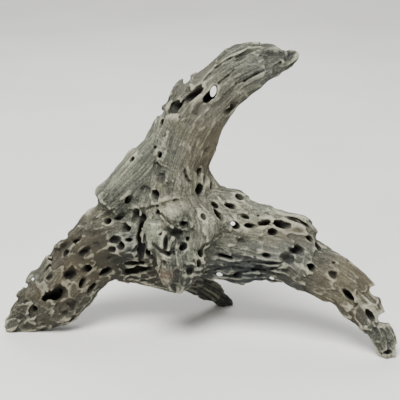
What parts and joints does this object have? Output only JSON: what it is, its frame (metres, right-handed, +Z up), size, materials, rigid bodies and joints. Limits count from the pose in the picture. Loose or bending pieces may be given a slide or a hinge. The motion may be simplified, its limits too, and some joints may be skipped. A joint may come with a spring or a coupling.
{
  "type": "piece of driftwood",
  "caption": "Weathered, worm-bored driftwood root standing on three points, with an arm that curls up and over to one side.",
  "frame": {"origin": "on the ground, under the middle of the piece's bounding box", "axes": "+Z up, +X along the spread of the two long legs towards the lower right-hand foot, +Y away from the viewer of the front"},
  "size_m": [0.5012, 0.182, 0.3821],
  "materials": {
    "weathered_wood": "bare, bleached grey by sun and water, matt"
  },
  "bodies": {
    "root": {"driftwood": "weathered_wood"}
  },
  "joints": []
}
